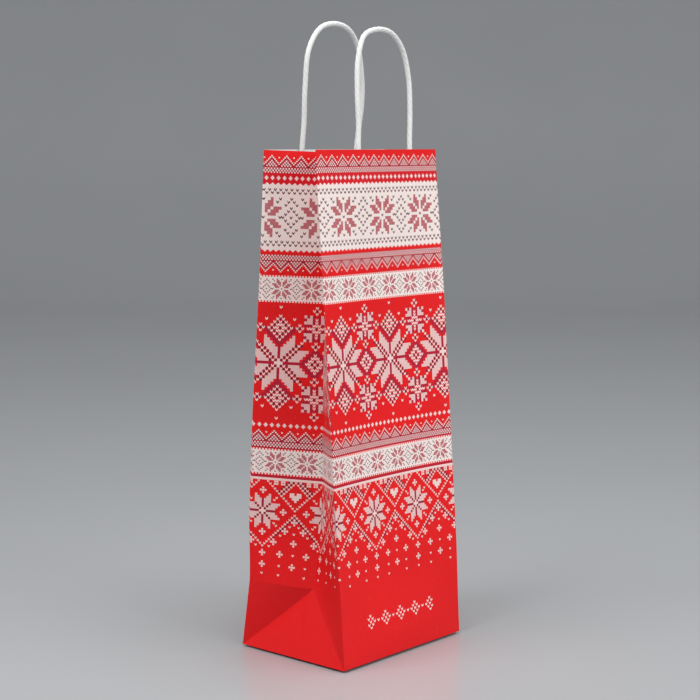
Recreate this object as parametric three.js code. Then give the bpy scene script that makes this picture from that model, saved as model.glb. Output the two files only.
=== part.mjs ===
// A tall paper gift bag for one bottle: a printed sheet creased into a front and a back panel,
// tucked side gussets and a glued block bottom, with two twisted paper handles in glued patches.
// Millimetres. +Z is up, the front panel faces -Y, and the origin is the middle of the base.
import * as THREE from "three";

// Driving dimensions
const WIDTH = 130; // front and back panels, side to side
const DEPTH = 100; // base, front to back
const PANEL_LENGTH = 360; // sheet length from the base fold to the rim
const SHEET = 0.3; // thickness of the paper
const GAP = 0.3; // clearance between neighbouring solids
const FRONT_RIM_INSET = 25.8; // how far the front rim stands inside the front base edge
const BACK_FOLD_INSET = 7.6; // the back panel's cross fold, inside the back base edge
const BACK_RIM_INSET = 24.6; // the back rim, inside the back base edge
const MIDDLE_TUCK = 33; // how far each side crease is pushed in at half height
const TUCK_RISE = 50; // height scale over which the side crease reaches that depth
const RIM_TUCK = 43; // how far it is pushed in at the rim, where the bag is shallow
const DEEPENS_ABOVE = 200; // height above which it goes from one to the other
const RIM_DIP = 2; // the gusset's rim is this much lower at the crease
const APEX_TUCK = 19.6; // the base triangle's tip, inside the base edge
const FLAP_LAP = 8; // each base flap reaches this far past the middle
const SEAM_LAP = [50, 62.5]; // the glued lap of the tube, along the right edge of the back
const CORD_DIAMETER = 3.4;
const CORD_SIDES = 10;
const CORD_STEPS = 44;
const HINGE_RISE = 2; // the handles bend this far above the rim
const GRIP_LENGTH = 34; // length of cord glued inside a patch
const PATCH = { width: 92, height: 42, below_rim: 6 };
const GUSSET_ROWS = 10;

const FOLD_LENGTH = DEPTH / 2; // base fold to the back panel's cross fold
const APEX_HEIGHT = Math.sqrt(FOLD_LENGTH ** 2 - APEX_TUCK ** 2);
const FRONT_LEAN = Math.asin(FRONT_RIM_INSET / PANEL_LENGTH);
const FRONT_RIM_HEIGHT = PANEL_LENGTH * Math.cos(FRONT_LEAN);
const FOLD_HEIGHT = Math.sqrt(FOLD_LENGTH ** 2 - BACK_FOLD_INSET ** 2);
const BACK_LOWER_LEAN = Math.asin(BACK_FOLD_INSET / FOLD_LENGTH);
const BACK_UPPER_LENGTH = PANEL_LENGTH - FOLD_LENGTH;
const BACK_UPPER_LEAN = Math.asin((BACK_RIM_INSET - BACK_FOLD_INSET) / BACK_UPPER_LENGTH);
const BACK_RIM_HEIGHT = FOLD_HEIGHT + BACK_UPPER_LENGTH * Math.cos(BACK_UPPER_LEAN);
const CORD_DEPTH = 2 * (SHEET + GAP) + CORD_DIAMETER / 2; // cord axis, from the outer face

// Handle centre lines as seen from the front: across the bag, and above the rim
const FRONT_HANDLE = [
  [-18, HINGE_RISE], [-16.5, 16], [-15.8, 42], [-13.3, 63], [-5.5, 79.5],
  [8, 84.6], [24, 83], [35.5, 72.5], [41.2, 52], [41, 28], [38.5, HINGE_RISE],
];
const BACK_HANDLE = [
  [-28.7, HINGE_RISE], [-27.8, 18], [-28, 44], [-25.5, 70.5], [-15, 85.4],
  [0, 89.7], [15, 86.8], [26, 76], [32.5, 54], [34, 36], [30, HINGE_RISE],
];

const printed = new THREE.MeshStandardMaterial({ color: 0xd7242a, roughness: 0.55 });
const white = new THREE.MeshStandardMaterial({ color: 0xf1eee8, roughness: 0.8 });
const twisted = new THREE.MeshStandardMaterial({ color: 0xf3f3f1, roughness: 0.7 });

const bag = new THREE.Group();

function addMesh(group, name, geometry, material) {
  const mesh = new THREE.Mesh(geometry, material);
  mesh.name = name;
  group.add(mesh);
  return mesh;
}

// A wall's own frame: x to the right as seen from outside, y up the sheet, z out of the bag.
function wallFrame(distance, height, lean, facing) {
  const turn = new THREE.Group();
  turn.rotation.z = facing === "back" ? Math.PI : 0;
  const wall = new THREE.Group();
  wall.position.set(0, -distance, height);
  wall.rotation.x = Math.PI / 2 - lean;
  turn.add(wall);
  bag.add(turn);
  return wall;
}

function outline(points) {
  return new THREE.Shape(points.map(([x, y]) => new THREE.Vector2(x, y)));
}

// A flat sheet in a wall's frame, its outer face this deep behind the wall's outer face
function flatSheet(points, depth) {
  const geometry = new THREE.ExtrudeGeometry(outline(points), { depth: SHEET, bevelEnabled: false });
  return geometry.translate(0, 0, -depth - SHEET);
}

function rectangle(left, right, bottom, top) {
  return [[left, bottom], [right, bottom], [right, top], [left, top]];
}

// A closed thin solid from rows of points on its outer side, thickened towards `inside`
function thickSheet(rows, inside) {
  const rowCount = rows.length;
  const columnCount = rows[0].length;
  const at = (i, j) => rows[THREE.MathUtils.clamp(i, 0, rowCount - 1)][
    THREE.MathUtils.clamp(j, 0, columnCount - 1)];
  const positions = [];
  for (const layer of [0, SHEET]) {
    for (let i = 0; i < rowCount; i++) {
      for (let j = 0; j < columnCount; j++) {
        const along = at(i, j + 1).clone().sub(at(i, j - 1));
        const up = at(i + 1, j).clone().sub(at(i - 1, j));
        const normal = along.cross(up).normalize();
        if (normal.dot(inside) < 0) normal.negate();
        positions.push(...at(i, j).clone().addScaledVector(normal, layer).toArray());
      }
    }
  }
  const layerSize = rowCount * columnCount;
  const index = [];
  const quad = (a, b, c, d) => index.push(a, b, c, a, c, d);
  for (let i = 0; i < rowCount - 1; i++) {
    for (let j = 0; j < columnCount - 1; j++) {
      const corner = i * columnCount + j;
      const [a, b, c, d] = [corner, corner + 1, corner + 1 + columnCount, corner + columnCount];
      quad(a, b, c, d);
      quad(a + layerSize, d + layerSize, c + layerSize, b + layerSize);
    }
  }
  const rim = [];
  for (let j = 0; j < columnCount - 1; j++) rim.push(j);
  for (let i = 0; i < rowCount - 1; i++) rim.push(i * columnCount + columnCount - 1);
  for (let j = columnCount - 1; j > 0; j--) rim.push((rowCount - 1) * columnCount + j);
  for (let i = rowCount - 1; i > 0; i--) rim.push(i * columnCount);
  rim.forEach((from, k) => {
    const to = rim[(k + 1) % rim.length];
    quad(to, from, from + layerSize, to + layerSize);
  });
  return facingOut(positions, index);
}

// Turns the faces round if they enclose a negative volume
function facingOut(positions, index) {
  const corner = (k) => new THREE.Vector3().fromArray(positions, 3 * index[k]);
  let volume = 0;
  for (let k = 0; k < index.length; k += 3) {
    volume += corner(k).dot(corner(k + 1).cross(corner(k + 2)));
  }
  const geometry = new THREE.BufferGeometry();
  geometry.setAttribute("position", new THREE.Float32BufferAttribute(positions, 3));
  geometry.setIndex(volume < 0 ? index.slice().reverse() : index);
  return geometry;
}

// Edges and creases of the body, on the left side; `side` is -1 for left and 1 for right
function frontEdgeY(height) {
  return -DEPTH / 2 + (FRONT_RIM_INSET * height) / FRONT_RIM_HEIGHT;
}

function backEdgeY(height) {
  if (height < FOLD_HEIGHT) return DEPTH / 2 - (BACK_FOLD_INSET * height) / FOLD_HEIGHT;
  const share = (height - FOLD_HEIGHT) / (BACK_RIM_HEIGHT - FOLD_HEIGHT);
  return DEPTH / 2 - BACK_FOLD_INSET - (BACK_RIM_INSET - BACK_FOLD_INSET) * share;
}

function creasePoint(side, height) {
  const rise = Math.max(0, height - DEEPENS_ABOVE) / (FRONT_RIM_HEIGHT - DEEPENS_ABOVE);
  const deepening = (RIM_TUCK - MIDDLE_TUCK) * rise;
  const tuck = MIDDLE_TUCK * (1 - Math.exp(-height / TUCK_RISE)) + deepening;
  const middle = (frontEdgeY(height) + backEdgeY(height)) / 2;
  return new THREE.Vector3(side * (WIDTH / 2 - tuck), middle, height);
}

// Half a gusset, from the crease to the front or back edge, above the base triangles
function gussetHalf(side, half) {
  const isFront = half === "front";
  const edgeY = isFront ? frontEdgeY : backEdgeY;
  const towardsMiddle = isFront ? 1 : -1;
  const edgeBottom = isFront ? 3 * GAP : FOLD_HEIGHT + 2 * GAP;
  const edgeTop = isFront ? FRONT_RIM_HEIGHT : BACK_RIM_HEIGHT;
  const creaseBottom = APEX_HEIGHT + 3 * GAP;
  const rows = [];
  for (let i = 0; i <= GUSSET_ROWS; i++) {
    const share = (i / GUSSET_ROWS) ** 1.4;
    const edgeHeight = THREE.MathUtils.lerp(edgeBottom, edgeTop, share);
    const creaseHeight = THREE.MathUtils.lerp(creaseBottom, edgeTop - RIM_DIP, share);
    const edge = new THREE.Vector3(
      (side * WIDTH) / 2,
      edgeY(edgeHeight) + towardsMiddle * (SHEET + 2 * GAP),
      edgeHeight,
    );
    const crease = creasePoint(side, creaseHeight);
    crease.y -= towardsMiddle * 2 * GAP;
    const middle = edge.clone().lerp(crease, 0.5);
    rows.push([edge, middle, crease]);
  }
  return thickSheet(rows, new THREE.Vector3(-side, 0, 0));
}

// A flat triangle of the body with its corners pulled in to keep clear of its neighbours
function triangleSheet(corners, clearance, inside) {
  const [a, b, c] = corners;
  const lengths = [b.distanceTo(c), c.distanceTo(a), a.distanceTo(b)];
  const perimeter = lengths[0] + lengths[1] + lengths[2];
  const centre = new THREE.Vector3();
  corners.forEach((corner, k) => centre.addScaledVector(corner, lengths[k] / perimeter));
  const area = new THREE.Triangle(a, b, c).getArea();
  const innerRadius = (2 * area) / perimeter;
  const pulled = corners.map((corner) => corner.clone().lerp(centre, clearance / innerRadius));
  const normal = new THREE.Triangle(...pulled).getNormal(new THREE.Vector3());
  if (normal.dot(inside) < 0) normal.negate();
  const positions = [];
  for (const layer of [0, SHEET]) {
    pulled.forEach((corner) => positions.push(...corner.clone().addScaledVector(normal, layer)));
  }
  const index = [0, 1, 2, 5, 4, 3, 1, 0, 3, 1, 3, 4, 2, 1, 4, 2, 4, 5, 0, 2, 5, 0, 5, 3];
  return facingOut(positions, index);
}

function addGusset(side, name) {
  const corner = (x, y, z) => new THREE.Vector3(side * x, y, z);
  const inward = new THREE.Vector3(-side, 0, 0);
  const halfWidth = WIDTH / 2;
  const frontCorner = corner(halfWidth, -DEPTH / 2 + SHEET + GAP, 2 * GAP);
  const backCorner = corner(halfWidth, DEPTH / 2 - SHEET - GAP, 2 * GAP);
  const foldCorner = corner(halfWidth, DEPTH / 2 - BACK_FOLD_INSET - SHEET - GAP, FOLD_HEIGHT);
  const apex = corner(halfWidth - APEX_TUCK, 0, APEX_HEIGHT);
  const clearance = 2 * GAP;
  const baseTriangle = triangleSheet([frontCorner, backCorner, apex], clearance, inward);
  const foldTriangle = triangleSheet([backCorner, foldCorner, apex], clearance, inward);
  addMesh(bag, `${name}_gusset_base_triangle`, baseTriangle, printed);
  addMesh(bag, `${name}_gusset_fold_triangle`, foldTriangle, printed);
  addMesh(bag, `${name}_gusset_front_half`, gussetHalf(side, "front"), printed);
  addMesh(bag, `${name}_gusset_back_half`, gussetHalf(side, "back"), printed);
}

// The glued block bottom: two full-width flaps that overlap, over the gussets' own end flaps
function addBase() {
  const halfWidth = WIDTH / 2 - GAP;
  const halfDepth = DEPTH / 2 - SHEET - GAP;
  const backFlap = new THREE.ExtrudeGeometry(
    outline(rectangle(-halfWidth, halfWidth, -FLAP_LAP, halfDepth)),
    { depth: SHEET, bevelEnabled: false },
  );
  addMesh(bag, "base_back_flap", backFlap, printed);

  const step = SHEET + GAP; // the front flap climbs onto the back flap
  const rampEnd = -FLAP_LAP - GAP;
  const rampStart = rampEnd - 2 * step;
  const profile = [
    [-halfDepth, 0], [rampStart, 0], [rampEnd, step], [FLAP_LAP, step],
    [FLAP_LAP, step + SHEET], [rampEnd, step + SHEET], [rampStart, SHEET], [-halfDepth, SHEET],
  ];
  const frontFlap = new THREE.ExtrudeGeometry(
    outline(profile),
    { depth: 2 * halfWidth, bevelEnabled: false },
  );
  frontFlap.translate(0, 0, -halfWidth).rotateX(Math.PI / 2).rotateZ(Math.PI / 2);
  addMesh(bag, "base_front_flap", frontFlap, printed);

  const endFlapHeight = 2 * step + GAP;
  const root = halfWidth - 6 * GAP;
  const reach = halfDepth - 6 * GAP;
  for (const [side, name] of [[-1, "left"], [1, "right"]]) {
    const triangle = [[side * root, -reach], [side * root, reach], [side * (root - reach), 0]];
    const endFlap = new THREE.ExtrudeGeometry(outline(triangle), { depth: SHEET, bevelEnabled: false });
    addMesh(bag, `base_${name}_end_flap`, endFlap, white).position.z = endFlapHeight;
  }
}

// A cord as a closed tube along a smooth curve through points of a wall's frame
function cordTube(points, steps) {
  const curve = new THREE.CatmullRomCurve3(
    points.map(([x, y]) => new THREE.Vector3(x, y, -CORD_DEPTH)),
    false,
    "centripetal",
  );
  const section = new THREE.Shape();
  section.absarc(0, 0, CORD_DIAMETER / 2, 0, 2 * Math.PI);
  const ring = new THREE.Shape(section.getSpacedPoints(CORD_SIDES).slice(0, CORD_SIDES));
  return new THREE.ExtrudeGeometry(ring, { steps, extrudePath: curve, bevelEnabled: false });
}

// The patch's cover sheet, pressed over the two cord ends
function patchCover(legs) {
  const flat = 2 * (SHEET + GAP);
  const raised = CORD_DEPTH + CORD_DIAMETER / 2 + GAP;
  const crown = CORD_DIAMETER / 2;
  const foot = CORD_DIAMETER + 2 * GAP;
  const middle = (legs[0] + legs[1]) / 2;
  const line = [[middle - PATCH.width / 2, flat]];
  for (const leg of legs) {
    line.push([leg - foot, flat], [leg - crown, raised], [leg + crown, raised], [leg + foot, flat]);
  }
  line.push([middle + PATCH.width / 2, flat]);
  const inner = line.map(([x, depth]) => [x, depth + SHEET]).reverse();
  const geometry = new THREE.ExtrudeGeometry(
    outline([...line, ...inner]),
    { depth: PATCH.height, bevelEnabled: false },
  );
  return geometry.rotateX(-Math.PI / 2);
}

// The cord ends and the two patch sheets that hold them; `rim` is the sheet length at the rim
function addHandle(wall, name, centreLine, rim) {
  const points = centreLine.map(([x, y]) => [x, y + rim]);
  addMesh(wall, `${name}_handle_loop`, cordTube(points, CORD_STEPS), twisted);
  const legs = [centreLine[0][0], centreLine.at(-1)[0]].sort((a, b) => a - b);
  const endTop = rim - GAP;
  const endNames = name === "back" ? ["right", "left"] : ["left", "right"];
  legs.forEach((leg, k) => {
    const end = cordTube([[leg, endTop - GRIP_LENGTH], [leg, endTop]], 1);
    addMesh(wall, `${name}_handle_${endNames[k]}_end`, end, twisted);
  });
  const middle = (legs[0] + legs[1]) / 2;
  const top = rim - PATCH.below_rim;
  const backing = rectangle(
    middle - PATCH.width / 2,
    middle + PATCH.width / 2,
    top - PATCH.height,
    top,
  );
  addMesh(wall, `${name}_patch_backing`, flatSheet(backing, SHEET + GAP), white);
  addMesh(wall, `${name}_patch_cover`, patchCover(legs), white).position.y = top - PATCH.height;
}

function addFrontWall() {
  const wall = wallFrame(DEPTH / 2, 0, FRONT_LEAN, "front");
  const sheet = rectangle(-WIDTH / 2, WIDTH / 2, GAP, PANEL_LENGTH);
  addMesh(wall, "front_panel", flatSheet(sheet, 0), printed);
  addHandle(wall, "front", FRONT_HANDLE, PANEL_LENGTH);
}

function addBackWall() {
  const lower = wallFrame(DEPTH / 2, 0, BACK_LOWER_LEAN, "back");
  const lowerSheet = rectangle(-WIDTH / 2, WIDTH / 2, GAP, FOLD_LENGTH - GAP);
  addMesh(lower, "back_panel_lower", flatSheet(lowerSheet, 0), printed);

  const upper = wallFrame(DEPTH / 2 - BACK_FOLD_INSET, FOLD_HEIGHT, BACK_UPPER_LEAN, "back");
  const upperSheet = rectangle(-WIDTH / 2, WIDTH / 2, GAP, BACK_UPPER_LENGTH);
  addMesh(upper, "back_panel_upper", flatSheet(upperSheet, 0), printed);
  const mirrored = BACK_HANDLE.map(([x, y]) => [-x, y]);
  addHandle(upper, "back", mirrored, BACK_UPPER_LENGTH);
  const lap = rectangle(-SEAM_LAP[1], -SEAM_LAP[0], 3 * GAP, BACK_UPPER_LENGTH - GAP);
  addMesh(upper, "side_seam_lap", flatSheet(lap, SHEET + GAP), printed);
}

addBase();
addGusset(-1, "left");
addGusset(1, "right");
addFrontWall();
addBackWall();

export default bag;
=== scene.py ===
"""The looks of a printed paper bottle bag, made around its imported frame. Metres, +Z up."""

import math

import bmesh
import bpy
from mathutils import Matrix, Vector, noise


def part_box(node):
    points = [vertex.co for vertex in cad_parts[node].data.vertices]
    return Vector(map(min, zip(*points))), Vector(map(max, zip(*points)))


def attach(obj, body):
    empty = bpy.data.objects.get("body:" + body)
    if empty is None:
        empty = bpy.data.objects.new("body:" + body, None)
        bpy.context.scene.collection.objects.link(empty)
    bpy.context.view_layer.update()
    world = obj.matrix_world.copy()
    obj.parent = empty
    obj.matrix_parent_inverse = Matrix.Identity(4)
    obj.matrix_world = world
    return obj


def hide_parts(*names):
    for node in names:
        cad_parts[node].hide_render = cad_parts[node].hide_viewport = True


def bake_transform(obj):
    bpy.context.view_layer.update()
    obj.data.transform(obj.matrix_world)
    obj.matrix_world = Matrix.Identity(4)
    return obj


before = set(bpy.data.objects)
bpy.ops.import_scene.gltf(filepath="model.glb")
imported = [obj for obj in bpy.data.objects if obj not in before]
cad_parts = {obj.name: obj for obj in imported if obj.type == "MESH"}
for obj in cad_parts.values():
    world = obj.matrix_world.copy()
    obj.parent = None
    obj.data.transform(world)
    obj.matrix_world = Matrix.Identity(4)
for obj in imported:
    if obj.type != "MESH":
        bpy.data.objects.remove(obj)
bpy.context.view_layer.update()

MM = 0.001

# ---------------------------------------------------------------- sizes of the sheet

PAPER = 0.3 * MM  # thickness of the sheet
PANEL_LENGTH = 360 * MM  # from the base fold to the rim, along the sheet
FOLD_LENGTH = 50 * MM  # from the base fold to the back panel's cross fold and the gusset's tip
FOLD_RADIUS = 0.5 * MM  # outer radius of a creased edge
MIDDLE_TUCK = 33 * MM  # how far the side creases are pushed in at half height
TUCK_RISE = 50 * MM
RIM_TUCK = 43 * MM
DEEPENS_ABOVE = 200 * MM
RIM_DIP = 2 * MM
CORD_RADIUS = 1.7 * MM
CORD_DEPTH = 2.9 * MM  # the cord's axis, behind the wall's outer face
GRIP_LENGTH = 34 * MM
HINGE_RISE = 2 * MM
PATCH_DROP = 6 * MM  # the patch starts this far below the rim
PATCH_HEIGHT = 42 * MM
PATCH_WIDTH = 92 * MM
FLAP_LAP = 8 * MM
APEX_HEIGHT = 46 * MM  # of the base triangle's tip, above the floor

front_low, front_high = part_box("front_panel")
upper_low, upper_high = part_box("back_panel_upper")
seam_low, seam_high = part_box("side_seam_lap")
HALF_WIDTH = front_high.x
HALF_DEPTH = -front_low.y
FRONT_RIM_Y = front_high.y - PAPER
BACK_FOLD_Y = upper_high.y
BACK_RIM_Y = upper_low.y + PAPER

front_lean = math.asin((FRONT_RIM_Y + HALF_DEPTH) / PANEL_LENGTH)
lower_lean = math.asin((HALF_DEPTH - BACK_FOLD_Y) / FOLD_LENGTH)
upper_lean = math.asin((BACK_FOLD_Y - BACK_RIM_Y) / (PANEL_LENGTH - FOLD_LENGTH))
FOLD_HEIGHT = FOLD_LENGTH * math.cos(lower_lean)
RIM_HEIGHT = PANEL_LENGTH * math.cos(front_lean)

# Handle centre lines as seen from the front, in millimetres: across the bag, and above the rim
FRONT_HANDLE = [
    (-18, 2), (-16.5, 16), (-15.8, 42), (-13.3, 63), (-5.5, 79.5),
    (8, 84.6), (24, 83), (35.5, 72.5), (41.2, 52), (41, 28), (38.5, 2),
]
BACK_HANDLE = [
    (-28.7, 2), (-27.8, 18), (-28, 44), (-25.5, 70.5), (-15, 85.4),
    (0, 89.7), (15, 86.8), (26, 76), (32.5, 54), (34, 36), (30, 2),
]


def lerp(a, b, share):
    return a + (b - a) * share


def smoothstep(low, high, x):
    t = min(1.0, max(0.0, (x - low) / (high - low)))
    return t * t * (3 - 2 * t)


# ---------------------------------------------------------------- the shape of the folded sheet


def dent(u, v):
    """How far the front panel is pressed in, u across from its left edge and v up the sheet."""
    t = min(1.0, max(0.0, u / (2 * HALF_WIDTH)))
    skew = 0.85
    peak = 1 / (1 + skew)
    shape = t * (1 - t) ** skew / (peak * (1 - peak) ** skew)
    foot = smoothstep(4 * MM, 62 * MM, v)
    depth = lerp(4.9 * MM, 3.7 * MM, smoothstep(220 * MM, 270 * MM, v))
    depth *= 1 - smoothstep(262 * MM, 345 * MM, v)
    return depth * foot * shape


def belly(t, v):
    """The outward swell of the front panel towards its right edge, t from 0 to 1 across."""
    swell = smoothstep(0, 80 * MM, v) * (1 - smoothstep(240 * MM, 350 * MM, v))
    return 1.6 * MM * swell * max(0.0, t) ** 2


def back_swell(v):
    """The outward swell of the back panel above its cross fold."""
    rise = smoothstep(FOLD_LENGTH, FOLD_LENGTH + 55 * MM, v)
    return 2.8 * MM * rise * (1 - smoothstep(150 * MM, 300 * MM, v))


def slip(v):
    """The print sits a little high on the gussets, as the sheet was folded askew."""
    return 1.2 * MM * smoothstep(20 * MM, 80 * MM, v) * (1 - smoothstep(285 * MM, 345 * MM, v))


def ripple(u, v, seed, size):
    """Slow unevenness of handled paper, fading to nothing at the sheet's folds."""
    edge = min(u, 2 * HALF_WIDTH - u)
    fade = smoothstep(0, 14 * MM, edge) * smoothstep(0, 20 * MM, v)
    return size * fade * noise.noise(Vector((u * 22, v * 15, seed)))


def cord_bump(x, v, legs):
    """The panel stands out a little over the glued cord ends."""
    along = smoothstep(PANEL_LENGTH - GRIP_LENGTH - 6 * MM, PANEL_LENGTH - GRIP_LENGTH + 3 * MM, v)
    return along * sum(0.55 * MM * math.exp(-((x - leg) / (3.2 * MM)) ** 2) for leg in legs)


FRONT_LEGS = (FRONT_HANDLE[0][0] * MM, FRONT_HANDLE[-1][0] * MM)
BACK_LEGS = (BACK_HANDLE[0][0] * MM, BACK_HANDLE[-1][0] * MM)


def front_axes(v):
    """A point of the front edge line at x = 0, the way up the sheet, and the way into the bag."""
    up = Vector((0, math.sin(front_lean), math.cos(front_lean)))
    inward = Vector((0, math.cos(front_lean), -math.sin(front_lean)))
    return Vector((0, -HALF_DEPTH, 0)) + up * v, up, inward


def back_axes(v):
    if v < FOLD_LENGTH:
        up = Vector((0, -math.sin(lower_lean), math.cos(lower_lean)))
        inward = Vector((0, -math.cos(lower_lean), -math.sin(lower_lean)))
        return Vector((0, HALF_DEPTH, 0)) + up * v, up, inward
    up = Vector((0, -math.sin(upper_lean), math.cos(upper_lean)))
    inward = Vector((0, -math.cos(upper_lean), -math.sin(upper_lean)))
    foot = Vector((0, BACK_FOLD_Y, FOLD_HEIGHT)) + up * (v - FOLD_LENGTH)
    return foot - inward * back_swell(v), up, inward


def front_point(x, v, behind=0.0):
    """A point of the front panel, `behind` its outer face."""
    foot, _, inward = front_axes(v)
    u = x + HALF_WIDTH
    depth = dent(u, v) + ripple(u, v, 3.1, 0.55 * MM) - cord_bump(x, v, FRONT_LEGS)
    depth -= belly(u / (2 * HALF_WIDTH), v)
    return foot + Vector((x, 0, 0)) + inward * (depth + behind)


def back_point(x, v, behind=0.0):
    foot, _, inward = back_axes(v)
    above_fold = smoothstep(FOLD_LENGTH, FOLD_LENGTH + 40 * MM, v) if v > FOLD_LENGTH else 0
    fade = above_fold * (1 - smoothstep(270 * MM, 345 * MM, v))
    bow = 2.2 * MM * (1 - (x / HALF_WIDTH) ** 2) * fade
    depth = bow + ripple(x + HALF_WIDTH, v, 8.7, 0.5 * MM) * above_fold
    depth -= cord_bump(x, v, BACK_LEGS)
    return foot + Vector((x, 0, 0)) + inward * (depth + behind)


def tuck(height):
    rise = max(0.0, height - DEEPENS_ABOVE) / (RIM_HEIGHT - DEEPENS_ABOVE)
    settled = MIDDLE_TUCK * (1 - math.exp(-height / TUCK_RISE))
    return settled + (RIM_TUCK - MIDDLE_TUCK) * rise


def crease_point(side, v):
    """The side crease, from the tip of the base triangle up; v is the place along the sheet."""
    height = lerp(APEX_HEIGHT, RIM_HEIGHT - RIM_DIP, (v - FOLD_LENGTH) / (PANEL_LENGTH - FOLD_LENGTH))
    y_front = lerp(-HALF_DEPTH, FRONT_RIM_Y, height / RIM_HEIGHT)
    share = (height - FOLD_HEIGHT) / (RIM_HEIGHT - FOLD_HEIGHT)
    y_back = lerp(BACK_FOLD_Y, BACK_RIM_Y, share)
    settle_in = smoothstep(FOLD_LENGTH, FOLD_LENGTH + 30 * MM, v)
    waver = 0.5 * MM * settle_in * noise.noise(Vector((side * 4.0, v * 18, 1.7)))
    x = side * (HALF_WIDTH - tuck(height) + waver)
    return Vector((x, (y_front + y_back) / 2, height))


def edge_turn(v):
    """The angle a creased edge turns through, from the wall's outward side to the gusset's."""
    reach = lerp(HALF_DEPTH, HALF_DEPTH / 2, v / PANEL_LENGTH)
    return math.pi / 2 + math.atan2(tuck(v) * smoothstep(0, FOLD_LENGTH, v), reach)


def edge_point(side, v, wall, angle):
    """A point of a rounded vertical edge; angle 0 lies on the panel's outer face."""
    foot, _, inward = front_axes(v) if wall == "front" else back_axes(v)
    if wall == "front" and side > 0:
        foot = foot - inward * belly(1.0, v)
    centre = foot + Vector((side * (HALF_WIDTH - FOLD_RADIUS), 0, 0)) + inward * FOLD_RADIUS
    outward = Vector((side, 0, 0)) * math.sin(angle) - inward * math.cos(angle)
    return centre + outward * FOLD_RADIUS


# ---------------------------------------------------------------- meshes


WELD = 0.01 * MM  # points nearer than this are one point


class Sheet:
    """Faces of the sheet's outer side, with their place on the flat sheet as UV, in metres."""

    def __init__(self, name):
        self.name = name
        self.mesh = bmesh.new()
        self.uv = self.mesh.loops.layers.uv.new("sheet")

    def add_grid(self, rows):
        """rows of (point, (u, v)); the faces look to the side where rows run left to right."""
        made = [[self.mesh.verts.new(point) for point, _ in row] for row in rows]
        for i in range(len(rows) - 1):
            for j in range(len(rows[0]) - 1):
                corners = [(i, j), (i, j + 1), (i + 1, j + 1), (i + 1, j)]
                face = self.mesh.faces.new([made[a][b] for a, b in corners])
                face.smooth = True
                for loop, (a, b) in zip(face.loops, corners):
                    loop[self.uv].uv = rows[a][b][1]
        return self

    def finish(self, materials, thickness=PAPER, sharp=32, flip=False):
        """
        Joins the grids, gives the sheet its thickness inwards and makes the object. Of two
        materials, the first is outside and the second inside and on the cut edge at the rim.
        """
        bmesh.ops.remove_doubles(self.mesh, verts=self.mesh.verts, dist=WELD)
        bmesh.ops.dissolve_degenerate(self.mesh, edges=self.mesh.edges, dist=WELD / 2)
        if flip:
            bmesh.ops.reverse_faces(self.mesh, faces=self.mesh.faces)
        data = bpy.data.meshes.new(self.name)
        self.mesh.to_mesh(data)
        self.mesh.free()
        piece = bpy.data.objects.new(self.name, data)
        bpy.context.scene.collection.objects.link(piece)
        for material in materials:
            data.materials.append(material)
        solid = piece.modifiers.new("thickness", "SOLIDIFY")
        solid.thickness = thickness
        solid.offset = -1
        solid.use_even_offset = True
        solid.use_quality_normals = True
        if len(materials) > 1:
            solid.material_offset = 1
            solid.material_offset_rim = 0
        piece = settle(piece, sharp)
        if len(materials) > 1:
            for face in piece.data.polygons:
                if face.normal.z > 0.8 and face.center.z > RIM_HEIGHT - 2 * RIM_DIP:
                    face.material_index = 1
        return piece


def settle(piece, sharp):
    """Applies the modifiers and marks the sharp edges."""
    graph = bpy.context.evaluated_depsgraph_get()
    data = bpy.data.meshes.new_from_object(piece.evaluated_get(graph))
    piece.modifiers.clear()
    piece.data = data
    data.name = piece.name
    data.shade_smooth()
    data.set_sharp_from_angle(angle=math.radians(sharp))
    return piece


def steps(count):
    return [k / count for k in range(count + 1)]


def levels(low, high, count):
    return [lerp(low, high, share) for share in steps(count)]


class Across:
    """Turns x into the place across the flat sheet, which runs round the bag."""

    def __init__(self, start, way):
        self.start = start
        self.way = way

    def __call__(self, x):
        return self.start + self.way * x


FRONT_U = Across(HALF_WIDTH, 1)
BACK_U = Across(-(2 * HALF_DEPTH + HALF_WIDTH), -1)


WALL_COLUMNS = 60
EDGE_COLUMNS = 5  # across a rounded edge
FRONT_ROWS = 150
LOWER_BACK_ROWS = 22  # below the cross fold
UPPER_BACK_ROWS = 130


def panel_row(wall, v):
    """One row across a wall, with the rounded edges on both sides of it."""
    point_at = front_point if wall == "front" else back_point
    across = FRONT_U if wall == "front" else BACK_U
    flat = HALF_WIDTH - FOLD_RADIUS
    turn = edge_turn(v)

    def rounded(side, share):
        angle = turn * share
        u = across(side * flat) + side * across.way * FOLD_RADIUS * angle
        return edge_point(side, v, wall, angle), (u, v)

    row = [rounded(-1, 1 - share) for share in steps(EDGE_COLUMNS)[:-1]]
    for share in steps(WALL_COLUMNS):
        x = lerp(-flat, flat, share)
        row.append((point_at(x, v), (across(x), v)))
    row += [rounded(1, share) for share in steps(EDGE_COLUMNS)[1:]]
    return row


def panel_sheet(name, wall, places, materials):
    """A whole wall of the bag, with a row at each of these places up the sheet."""
    grid = [panel_row(wall, v) for v in places]
    return Sheet(name).add_grid(grid).finish(materials, flip=wall == "back")


KINK = 1.6 * MM  # the cross fold stands out in the middle
DISH = 1.5 * MM  # the base triangle's back fold is pressed in


def gusset_outward(start, end, side):
    outward = (end - start).cross(Vector((0, 0, 1))).normalized()
    return -outward if outward.x * side < 0 else outward


def back_hypotenuse(side, s):
    """The fold from the bag's back corner up to the tip of the base triangle."""
    corner = edge_point(side, 0, "back", edge_turn(0))
    place = corner.lerp(crease_point(side, FOLD_LENGTH), s)
    return place - Vector((side * DISH * math.sin(math.pi * s), 0, 0))


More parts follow.
